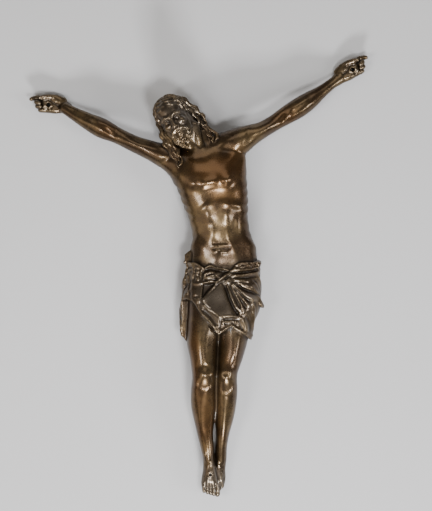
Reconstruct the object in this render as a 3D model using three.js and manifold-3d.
// Bronze corpus of a crucifix, cast in one piece: a bearded figure with raised, outspread arms, a knotted
// loincloth, bent knees and one foot nailed over the other. It lies on its back, face up.
// Millimetres. +X is the figure's left, +Y runs from the toes to the head, +Z is its front.
// The origin is on the surface that it lies on, under the middle of its bounding box.
import * as THREE from 'three';
import { LoftGeometry } from 'three/addons/geometries/LoftGeometry.js';
import { mergeVertices } from 'three/addons/utils/BufferGeometryUtils.js';
import Module from 'manifold-3d';

const wasm = await Module();
wasm.setup();

// Driving sizes
const overallLength = 354; // toes to the higher hand's fingertip
const palmHole = 3.2; // diameter of the nail hole in each palm
const footHole = 2.2; // diameter of the nail hole through the feet
const holeSides = 12;

// The figure's own measures are shares of its length: one unit is a 354th part of it.
const unit = overallLength / 354;

const bronze = new THREE.MeshStandardMaterial({ color: 0x5a3c22, roughness: 0.32, metalness: 0.95 });

const X_AXIS = new THREE.Vector3(1, 0, 0);
const Z_AXIS = new THREE.Vector3(0, 0, 1);
const point = (x, y, z) => new THREE.Vector3(x, y, z).multiplyScalar(unit);
const rad = THREE.MathUtils.degToRad;

// Solid from a three.js geometry: its seams are merged, so that it is one closed surface.
function solid(geometry) {
  const bare = new THREE.BufferGeometry();
  bare.setAttribute('position', geometry.attributes.position);
  bare.setIndex(geometry.index);
  const merged = mergeVertices(bare, 1e-4);
  return new wasm.Manifold(new wasm.Mesh({
    numProp: 3,
    vertProperties: merged.attributes.position.array,
    triVerts: new Uint32Array(merged.index.array),
  }));
}

const join = (solids) => solids.reduce((whole, next) => whole.add(next));

// A limb, finger, fold or lock: ellipses threaded on a smooth line.
// Each station is [x, y, z, half width across the figure, half depth].
// squareness above 2 flattens the ellipse towards a rounded box, and facing is a direction that the line never takes.
function limb(stations, { sides = 12, rings = 3 * (stations.length - 1), squareness = 2, ripple, facing = Z_AXIS } = {}) {
  const line = new THREE.CatmullRomCurve3(stations.map(([x, y, z]) => point(x, y, z)));
  const girth = new THREE.CatmullRomCurve3(stations.map(([, , , w, d = w]) => point(w, d, 0)));
  const sections = [];
  for (let i = 0; i <= rings; i++) {
    const t = i / rings;
    const centre = line.getPoint(t);
    const tangent = line.getTangent(t);
    const across = new THREE.Vector3().crossVectors(facing, tangent).normalize();
    const front = new THREE.Vector3().crossVectors(tangent, across);
    const { x: width, y: depth } = girth.getPoint(t);
    const section = [];
    for (let j = 0; j < sides; j++) {
      const a = (2 * Math.PI * j) / sides;
      const c = Math.sign(Math.cos(a)) * Math.abs(Math.cos(a)) ** (2 / squareness);
      const s = Math.sign(Math.sin(a)) * Math.abs(Math.sin(a)) ** (2 / squareness);
      const swell = ripple ? ripple(a, t) : 1;
      section.push(centre.clone().addScaledVector(across, width * c * swell).addScaledVector(front, depth * s * swell));
    }
    sections.push(section);
  }
  return solid(new LoftGeometry(sections, { capStart: true, capEnd: true }));
}

// A muscle or swelling: a ball stretched to three half sizes and turned about Z.
function swelling(x, y, z, rx, ry, rz, turn = 0, detail = 12) {
  const ball = new THREE.SphereGeometry(1, detail, Math.round(detail * 0.7));
  const place = new THREE.Matrix4().compose(
    point(x, y, z),
    new THREE.Quaternion().setFromAxisAngle(Z_AXIS, rad(turn)),
    point(rx, ry, rz),
  );
  return solid(ball.applyMatrix4(place));
}

// Trunk: hips to collar, leaning towards the figure's right as it rises.
const trunkLine = [
  [-2, 143, 19, 24, 14],
  [-1, 158, 18, 27, 17],
  [0, 174, 18.5, 27.5, 16.5],
  [1.4, 188, 19, 27, 15],
  [1.2, 197, 20, 25.8, 14.5],
  [0.4, 206, 20.5, 24.6, 14],
  [-1, 215, 21, 23.2, 14],
  [-2.6, 225, 21.5, 23.8, 15],
  [-4.2, 235, 22, 25.2, 16],
  [-6.4, 245, 22.5, 27, 17],
  [-9.2, 254, 22.5, 29.4, 17],
  [-11.8, 263, 22, 31.6, 15.5],
  [-13, 272, 21, 30.4, 13],
  [-15.5, 279, 20, 22, 10.5],
  [-16, 286, 19, 12, 7],
];

// Bell curve of width one at zero.
const bell = (x) => Math.exp(-x * x);

// Chest muscles, the arch under the ribs and the belly, as a swell of the trunk's front.
function torsoRelief(a, t) {
  const degrees = THREE.MathUtils.radToDeg(a);
  const chest = (bell((degrees - 56) / 26) + bell((degrees - 124) / 26)) * bell((t - 0.75) / 0.05);
  const arch = (bell((degrees - 40) / 24) + bell((degrees - 140) / 24)) * bell((t - 0.56) / 0.05);
  const belly = bell((degrees - 90) / 30) * bell((t - 0.34) / 0.12);
  return 1 + 0.09 * chest + 0.05 * arch + 0.08 * belly;
}

function trunk() {
  return limb(trunkLine, { sides: 18, rings: 17, squareness: 2.3, ripple: torsoRelief });
}

function shoulders() {
  return join([
    limb([[-12, 281, 19, 7], [0, 284.5, 19.5, 6.4], [14, 286, 20, 6]], { sides: 10, rings: 3 }),
    limb([[-20, 281, 19, 7], [-32, 277.5, 20, 6.8], [-44, 274, 20, 6.5]], { sides: 10, rings: 3 }),
    limb([[-14, 268, 20, 9, 9], [-18.5, 281, 22.5, 7, 8.4], [-24, 292, 25.5, 7, 8.6], [-31, 302, 28, 7.5, 9]], { rings: 5 }),
  ]);
}
const rightArm = [
  [-28, 266, 21, 9, 9],
  [-43, 271, 20.5, 9.4, 10.2],
  [-56, 276.8, 19.5, 8, 8.8],
  [-70, 282.5, 18, 6.7, 7.2],
  [-84.8, 289.8, 16, 6.6, 6.6],
  [-96.5, 295.4, 14.4, 8, 7.2],
  [-108.8, 301.6, 12.2, 6.6, 6.2],
  [-118.4, 307, 10, 5.3, 4.8],
  [-127, 312, 8, 4.3, 3.7],
];
const leftArm = [
  [0, 273.6, 21, 10, 9],
  [13, 283.6, 20.5, 10.8, 10.2],
  [22, 288.8, 20, 8.8, 9],
  [31, 293, 19, 6.9, 8],
  [41, 298.8, 17.5, 6.5, 7.2],
  [50, 304.6, 16, 7.2, 6.8],
  [61, 311.4, 14.4, 8, 7.2],
  [71, 318.2, 12.5, 7.1, 6.4],
  [79, 324.2, 10.5, 5.3, 5],
  [88.5, 331.6, 8, 4.3, 3.7],
  [96, 337, 5.5, 4.4, 3.6],
];

// One hand, palm up. Its own frame has +Y from the wrist to the knuckles, with the thumb on the side given.
const palm = [[-1, -4, 4.6, 4.3, 3.6], [0.4, 3, 4, 6, 4.3], [0.8, 9, 3.8, 7, 4.6], [0.4, 14, 3.8, 7, 4.2], [-0.2, 18, 4, 6, 3]];
const digits = [
  [[4.6, 2, 4.8, 2.6], [6.4, 8, 5.6, 2.4], [6, 14, 6.2, 2], [4.8, 19, 6.8, 1.7], [4.4, 21, 7, 1]],
  [[4, 16, 4.6, 2.2], [4.6, 21, 5.6, 2.1], [3.2, 25, 7.4, 2], [2.6, 26.4, 9, 1.5]],
  [[1.4, 17, 4.4, 2.1], [1.2, 21, 6, 2], [0.6, 21.8, 9.6, 1.9], [0.2, 19.4, 11, 1.2]],
  [[-1.8, 17, 4.4, 2.1], [-2.2, 20.2, 6, 2], [-2.4, 20.8, 9, 1.8], [-2.4, 18.4, 10.4, 1.2]],
  [[-4.6, 15, 4.4, 1.9], [-5.2, 17.8, 5.8, 1.8], [-5.1, 18.2, 8.2, 1.6], [-4.8, 16, 9.4, 1]],
];

function hand(wristX, wristY, direction, thumbSide) {
  const flip = (stations) => stations.map(([x, ...rest]) => [x * thumbSide, ...rest]);
  const whole = join([
    limb(flip(palm), { sides: 10, rings: 5, squareness: 2.6 }),
    ...digits.map((digit) => limb(flip(digit), { sides: 5, rings: 4, facing: X_AXIS })),
  ]);
  return whole.transform(new THREE.Matrix4()
    .makeRotationZ(rad(direction - 90))
    .setPosition(point(wristX, wristY, 0)).elements);
}

const rightLeg = [
  [-12.6, 160, 19, 14, 15],
  [-13.8, 142, 21, 14.2, 15.6],
  [-15.6, 124, 24, 12.4, 14],
  [-14.4, 109.6, 26.8, 10.8, 12],
  [-14, 95.2, 29, 9.8, 11],
  [-14.7, 84, 27, 10.1, 9.8],
  [-14.7, 73.6, 23.6, 10, 10],
  [-14.4, 61.6, 21.4, 8, 8.8],
  [-13.4, 49.6, 19.4, 6.2, 7],
  [-11.8, 39.2, 18.2, 5.2, 6.2],
  [-10.9, 30, 17.8, 4.3, 6.4],
  [-10.2, 21.2, 17, 5.2, 5.8],
  [-10.2, 15, 16.2, 6.2, 4.8],
  [-9.9, 10, 15.4, 7, 3.8],
  [-9.3, 5.4, 14.8, 7.4, 2.9],
];
const leftLeg = [
  [8, 160, 19, 14, 15],
  [9.4, 142, 20.6, 14, 15.4],
  [8.6, 124, 23, 11.6, 13.6],
  [6, 109.6, 25.4, 10, 11.6],
  [3.5, 95.2, 27.4, 8.7, 10.6],
  [3.3, 84, 25, 9, 9.8],
  [2.8, 73.6, 21.4, 8.5, 9.8],
  [1.8, 61.6, 18.4, 7.2, 8.6],
  [0.4, 49.6, 15.4, 5.4, 6.8],
  [-0.6, 39.2, 12.6, 4.7, 6.2],
  [-1.1, 29, 9.8, 4.8, 6.2],
  [-2.4, 21.2, 8.2, 5.2, 5.6],
  [-3.2, 14.6, 7, 6.2, 4.8],
  [-4, 9, 6.2, 6.4, 4],
  [-5, 5, 6, 5.6, 3.2],
];

function kneecap(x, y, z) {
  return swelling(x, y, z, 4.6, 6, 4, 0, 8);
}

// Toes in a row, from the big toe outwards: the big toe's tip, the step to the next, and how far each falls back.
function toes(x0, y0, z0, step, back, drop) {
  const row = [];
  for (let i = 0; i < 5; i++) {
    const r = i === 0 ? 2.2 : 1.7 - 0.07 * i;
    const x = x0 + step * (i + (i ? 0.12 : 0));
    const y = y0 + back * i;
    const z = z0 + drop * i;
    row.push(limb([[x, y + 7, z + 1.4, r], [x, y + 3.4, z + 0.8, r], [x, y + 0.2, z - 0.3, r * 0.7]], { sides: 5, rings: 2 }));
  }
  return row;
}

// Heels and toes: the right foot lies over the left one.
function heelsAndToes() {
  return join([
    limb([[-11.2, 39, 14, 4, 4], [-10.8, 33, 10, 4.4, 5.4], [-10.4, 26, 9.6, 4.6, 5], [-10.2, 17, 12, 4.6, 3]], { sides: 8, rings: 4 }),
    ...toes(-2.9, 0.4, 14.2, -3, 0.55, 0.1),
    limb([[-0.9, 39, 9, 4, 4], [-1.1, 33, 4.4, 4.4, 5.2], [-1.8, 26, 2.8, 4.6, 4], [-2.8, 17, 4, 4.8, 3]], { sides: 8, rings: 4 }),
    ...toes(-8.8, 1.6, 5.4, 1.9, 1.1, 0),
  ]);
}

// Head, in its own frame: +Y to the crown, +Z to the face, the origin in the middle of the skull.
// Then it is tilted, turned, thrown back a little and set on the neck.
const headPose = new THREE.Matrix4()
  .makeRotationFromEuler(new THREE.Euler(rad(-8), rad(-12), rad(31), 'ZYX'))
  .setPosition(point(-41, 307.6, 31));
const hairHalf = { x: 14, y: 13.4, z: 15.4 };

// A point on the hair's outer form, by longitude from the face and latitude from the brow, in degrees.
function onHair(longitude, latitude, lift = 0) {
  const [lon, lat] = [rad(longitude), rad(latitude)];
  return [
    (hairHalf.x + lift) * Math.sin(lon) * Math.cos(lat),
    (hairHalf.y + lift) * Math.sin(lat),
    -1 + (hairHalf.z + lift) * Math.cos(lon) * Math.cos(lat),
  ];
}

// A wavy lock on the head, combed from the parting to the side and down.
function lock(side, lon0, lat0, lon1, lat1, girth) {
  const stations = [];
  const steps = 4;
  for (let i = 0; i <= steps; i++) {
    const t = i / steps;
    const lon = lon0 + (lon1 - lon0) * t ** 0.8 + 5 * Math.sin(2.5 * Math.PI * t);
    const lat = lat0 + (lat1 - lat0) * t ** 1.3;
    stations.push([...onHair(side * lon, lat, -1 - 2.5 * (2 * t - 1) ** 4), girth * (0.8 + 0.4 * Math.sin(Math.PI * t))]);
  }
  return limb(stations, { sides: 5, rings: 4 });
}

function head() {
  const parts = [
    limb([[0, -24.5, 9.5, 3.4, 3.6], [0, -21, 8.4, 6.4, 7], [0, -15, 5.4, 9, 10.2], [0, -8, 2.6, 10.6, 12.8],
      [0, 0, 1.4, 11.6, 13.8], [0, 7, 0.4, 10.4, 12.4]], { sides: 12, rings: 6 }),
    swelling(0, 0, -1.6, hairHalf.x - 1, hairHalf.y - 0.8, hairHalf.z - 1.4, 0, 12),
    limb([[0, -4, 14.8, 1.2, 1.6], [0, -9, 16.4, 1.6, 2], [0, -12, 16.8, 2.1, 1.6]], { sides: 6, rings: 3 }),
    limb([[-7, -3.4, 12.4, 1.3], [-3, -2.8, 14.4, 1.4], [3, -2.8, 14.4, 1.4], [7, -3.4, 12.4, 1.3]], { sides: 6, rings: 4 }),
  ];
  for (const side of [-1, 1]) {
    parts.push(limb([[side * 0.5, -14.6, 15.4, 1.2], [side * 4, -15.8, 14, 1.5], [side * 6.6, -19, 11, 1]], { sides: 5, rings: 3 }));
    for (const [lon0, lat0, lon1, lat1, girth] of [
      [6, 32, 74, -26, 2.6], [8, 50, 98, -34, 2.9], [14, 70, 128, -36, 3], [60, 84, 158, -36, 3.1],
    ]) parts.push(lock(side, lon0, lat0, lon1, lat1, girth));
  }
  // the beard's curls
  for (let i = -2; i <= 2; i++) {
    const out = Math.abs(i);
    parts.push(limb([
      [i * 4.4, -16.5 + out * 3.6, 12.6 - out * 2.4, 2.6],
      [i * 3.9, -23 + out * 2.8, 13.6 - out * 2.2, 2.8],
      [i * 2.6, -29.6 + out * 2.6, 12.4 - out * 1.6, 1.3],
    ], { sides: 5, rings: 3 }));
  }
  return join(parts).transform(headPose.elements);
}

// Hair behind the neck, and locks that fall over the right shoulder and behind the left side of the neck.
function fallingHair() {
  const nape = limb([[-40, 304, 20, 11, 7], [-33, 297, 18.5, 12, 7], [-26, 288, 18, 11.5, 6], [-20, 279, 18, 9, 5]], { sides: 10, rings: 4 });
  return join([nape, ...[
    [[-46, 302, 28, 4], [-47.6, 293.6, 28.5, 3.4], [-46, 285.6, 30, 3.2], [-42.8, 279.2, 32, 3], [-38.6, 273.2, 34, 2.6], [-34.6, 265.6, 36, 1.4]],
    [[-42, 300, 30, 4], [-43, 291, 31, 3], [-41, 283, 32, 2.8], [-36.6, 276, 33.5, 2.6], [-32.6, 269, 35.5, 1.4]],
    [[-36, 312, 24, 5], [-28, 313.6, 23, 4.4], [-22.4, 309.4, 22, 4.4], [-17.6, 303.4, 21.5, 4.4], [-12.8, 297, 22, 4.2], [-8.4, 290.6, 22.5, 3.8], [-4.8, 283.6, 23.5, 1.8]],
    [[-34, 306, 20, 5], [-26, 306, 19, 4.6], [-20.6, 299, 19, 4.2], [-15.4, 291.6, 20, 3.8], [-10.2, 284.6, 22, 1.6]],
  ].map((stations) => limb(stations, { sides: 6, rings: 7 }))]);
}

// Loincloth: a wrapped skirt, trimmed along its hem, with a rolled top edge, a knot and the folds that spring from it.
const skirt = [
  [-4.2, 126, 21, 28, 17.5],
  [-4.4, 138, 21, 29.8, 18.6],
  [-2.6, 147, 20, 31, 20],
  [-0.8, 156, 19.2, 32, 20],
  [-0.2, 165, 18.8, 31.2, 19.6],
  [0.6, 175, 18.4, 30, 18.8],
  [1.2, 185, 18.4, 29.6, 17.8],
  [0.8, 191, 18.4, 29, 17],
];

// Height of a lofted form's front over a place, from the nearest stations.
function frontOf(line, x, y) {
  const next = THREE.MathUtils.clamp(line.findIndex((s) => s[1] > y), 1, line.length - 1);
  const [low, high] = [line[next - 1], line[next]];
  const t = THREE.MathUtils.clamp((y - low[1]) / (high[1] - low[1]), 0, 1);
  const [cx, , cz, w, d] = low.map((value, i) => value + (high[i] - value) * t);
  return cz + d * Math.sqrt(Math.max(0, 1 - Math.min(1, Math.abs((x - cx) / w)) ** 2.3));
}

// A ridge laid on a lofted form's front from one place to another, bowed sideways by a share of its length.
function ridge(line, x0, y0, x1, y1, girth0, girth1, bow = 0, proud = 0) {
  const stations = [];
  const steps = 4;
  for (let i = 0; i <= steps; i++) {
    const t = i / steps;
    const side = bow * 4 * t * (1 - t);
    const x = x0 + (x1 - x0) * t - (y1 - y0) * side;
    const y = y0 + (y1 - y0) * t + (x1 - x0) * side;
    stations.push([x, y, frontOf(line, x, y) + proud, girth0 + (girth1 - girth0) * t]);
  }
  return limb(stations, { sides: 4, rings: bow ? 4 : 3 });
}

// The openings of the skirt's front: above its rolled edge and below its hem.
const aboveRim = [[-45, 199], [-29, 196], [-14, 187.5], [-2, 185], [7, 182], [14, 186.5], [24, 189], [32, 190], [45, 192], [45, 212], [-45, 212]];
const belowHem = [[-45, 162], [-27, 162], [-21, 159], [-13, 144], [-6, 130], [-2.4, 129], [5, 139.5], [13, 133.5], [26, 126], [40, 122], [40, 112], [-45, 112]];
const knot = [0.5, 178.5];

// A cut through the figure's front half, outlined as seen from the front.
function frontCut(corners) {
  const outline = new THREE.Shape(corners.map(([x, y]) => new THREE.Vector2(x, y).multiplyScalar(unit)));
  const block = new THREE.ExtrudeGeometry(outline, { depth: 50 * unit, bevelEnabled: false });
  return solid(block.translate(0, 0, 20 * unit));
}

function loincloth() {
  const wrap = limb(skirt, { sides: 22, rings: 7, squareness: 2.3 })
    .subtract(frontCut(aboveRim))
    .subtract(frontCut(belowHem));
  const parts = [wrap];
  // folds that fan from the knot: end x and y, girth at the knot and at the end, bow
  for (const [x, y, girth0, girth1, bow] of [
    [29, 182, 1.6, 1.9, -0.06],
    [29, 173, 1.5, 1.9, -0.04],
    [28, 163, 1.5, 2.2, -0.04],
    [25, 153, 1.8, 3, -0.05],
    [16, 147, 1.6, 2.4, 0],
    [-17.6, 159.5, 1.2, 1.3, 0],
    [-25, 178, 2, 2.6, 0.05],
  ]) parts.push(ridge(skirt, ...knot, x, y, girth0, girth1, bow, 0.2));
  // the rolled top edge, the band under the flap and the hem over the left thigh
  for (const [x0, y0, x1, y1, girth, bow] of [
    [-30, 193, -2, 182.6, 2.3, -0.08],
    [4, 181, 30.5, 188.5, 2.3, 0.06],
    [-18, 159, -1, 149.5, 1.3, 0.04],
    [-0.5, 149.5, 10.5, 149.5, 1.4, 0.08],
    [-19.5, 157, -4, 133, 1.3, 0],
    [4.5, 141, 23, 129, 1.3, -0.04],
    [4.5, 141, -2.5, 132, 1.2, 0],
  ]) parts.push(ridge(skirt, x0, y0, x1, y1, girth, girth, bow));
  parts.push(swelling(...knot, frontOf(skirt, ...knot) + 1.2, 4.2, 3.2, 3, 30, 8));
  // the tail that hangs down the outside of the right thigh
  parts.push(limb(
    [[-27, 193, 22, 2.4, 4], [-27, 182, 22, 2.4, 4.4], [-28.8, 171, 22, 2.4, 4.6], [-30.2, 154, 22, 2.4, 5], [-31.2, 138, 22, 2.4, 4.8], [-30.2, 127, 22, 1.6, 3]],
    { sides: 8, rings: 6 },
  ));
  return join(parts);
}

// A straight nail hole through the figure from back to front.
function nailHole(x, y, diameter) {
  const drill = new THREE.CylinderGeometry(diameter / 2, diameter / 2, 80 * unit, holeSides);
  return solid(drill.rotateX(Math.PI / 2).translate(x * unit, y * unit, 20 * unit));
}

function corpus() {
  const form = join([
    trunk(), shoulders(), limb(rightArm, { sides: 10, rings: 12 }), limb(leftArm, { sides: 10, rings: 13 }),
    hand(-127.8, 313.2, 173, 1), hand(94.8, 336.8, 31, -1),
    limb(rightLeg, { sides: 12, rings: 21 }), limb(leftLeg, { sides: 12, rings: 21 }),
    kneecap(-13.6, 95, 36.5), kneecap(3.6, 94, 34.6),
    heelsAndToes(), head(), fallingHair(), loincloth(),
  ]);
  const below = new THREE.BoxGeometry(400 * unit, 400 * unit, 20 * unit)
    .translate(-20 * unit, 180 * unit, -10 * unit);
  const drilled = form
    .subtract(nailHole(-139.7, 314.7, palmHole))
    .subtract(nailHole(105.1, 343, palmHole))
    .subtract(nailHole(-9.2, 18.2, footHole))
    .subtract(solid(below));
  const { numProp, vertProperties, triVerts } = drilled.getMesh();
  const geometry = new THREE.BufferGeometry();
  geometry.setAttribute('position', new THREE.BufferAttribute(new Float32Array(vertProperties), numProp));
  geometry.setIndex(new THREE.BufferAttribute(new Uint32Array(triVerts), 1));
  geometry.computeVertexNormals();
  geometry.computeBoundingBox();
  const middle = geometry.boundingBox.getCenter(new THREE.Vector3());
  const mesh = new THREE.Mesh(geometry, bronze);
  mesh.name = 'corpus';
  mesh.position.set(-middle.x, -middle.y, 0);
  return mesh;
}

const group = new THREE.Group();
group.add(corpus());

export default group;
